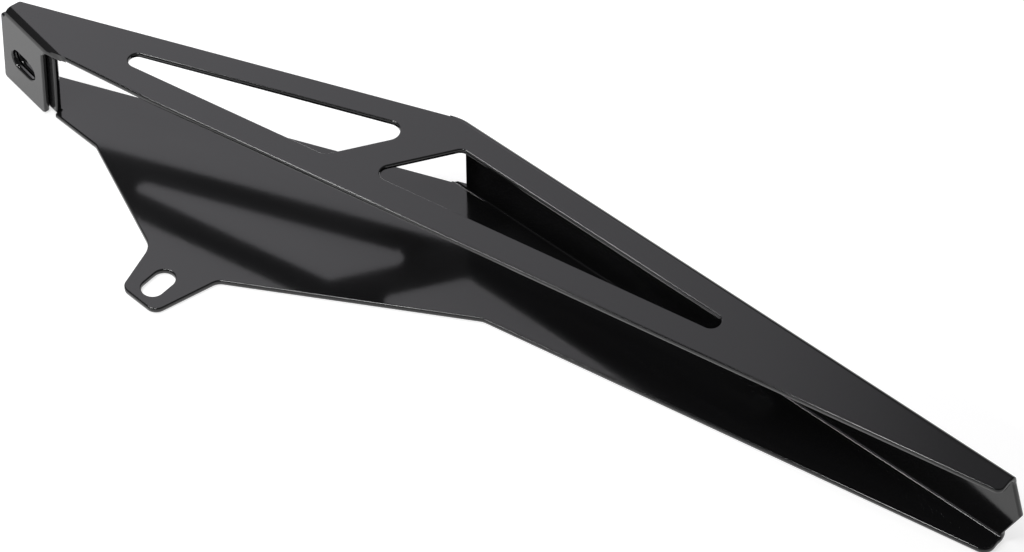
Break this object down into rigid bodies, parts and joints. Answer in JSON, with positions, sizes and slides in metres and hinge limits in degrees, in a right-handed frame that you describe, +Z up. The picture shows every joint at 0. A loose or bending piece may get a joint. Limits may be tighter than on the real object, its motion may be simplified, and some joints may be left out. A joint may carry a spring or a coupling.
{
  "type": "motorcycle chain guard",
  "caption": "Gloss black chain guard for a motorcycle, folded from one sheet, with triangular cut-outs, a slotted mounting ear and a pair of slotted fastening tabs.",
  "frame": {"origin": "centre of the ear slot, on the underside of the lower plate", "axes": "+X along the open edge from the fastening tabs to the tail, +Y towards the closed side of the channel, +Z up from the lower plate to the top plate"},
  "size_m": [0.4531, 0.1173, 0.038],
  "materials": {
    "black_coat": "gloss"
  },
  "bodies": {
    "root": {"chain_guard": "black_coat"}
  },
  "joints": []
}
